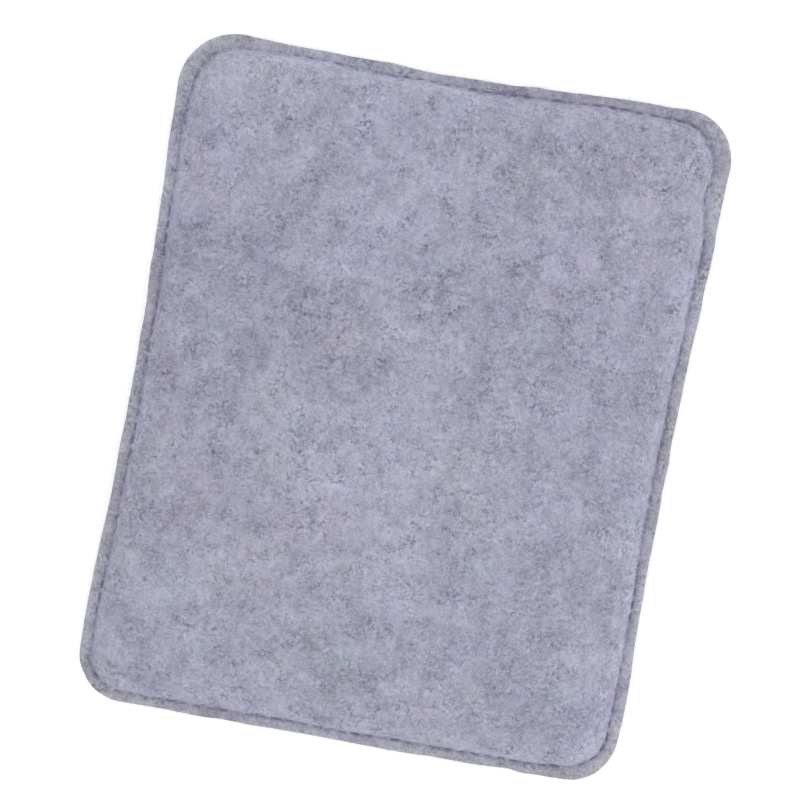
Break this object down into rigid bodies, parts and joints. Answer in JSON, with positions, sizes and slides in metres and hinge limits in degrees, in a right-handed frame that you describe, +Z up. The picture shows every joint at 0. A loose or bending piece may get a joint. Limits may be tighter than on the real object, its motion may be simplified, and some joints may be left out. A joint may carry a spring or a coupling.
{
  "type": "needle felting pad",
  "caption": "Soft rectangular needle felting pad: felt cover sheets sewn round a foam slab, with rounded corners, drawn-in sides, a raw-edged rim and a flat base.",
  "frame": {"origin": "middle of the flat underside, where the pad rests", "axes": "+Z up through the pad's thickness, +Y along its length, +X across its width"},
  "size_m": [0.2, 0.25, 0.0176],
  "materials": {
    "felt": "soft grey-lavender melange felt, matte, with pale and dark fibre flecks and raw cut edges",
    "foam": "soft open-cell foam, cream, matte",
    "thread": "twisted grey sewing thread, low sheen"
  },
  "bodies": {
    "root": {"top_felt_panel": "felt", "bottom_felt_panel": "felt", "foam_core": "foam", "needle_thread": "thread", "bobbin_thread": "thread"}
  },
  "joints": []
}
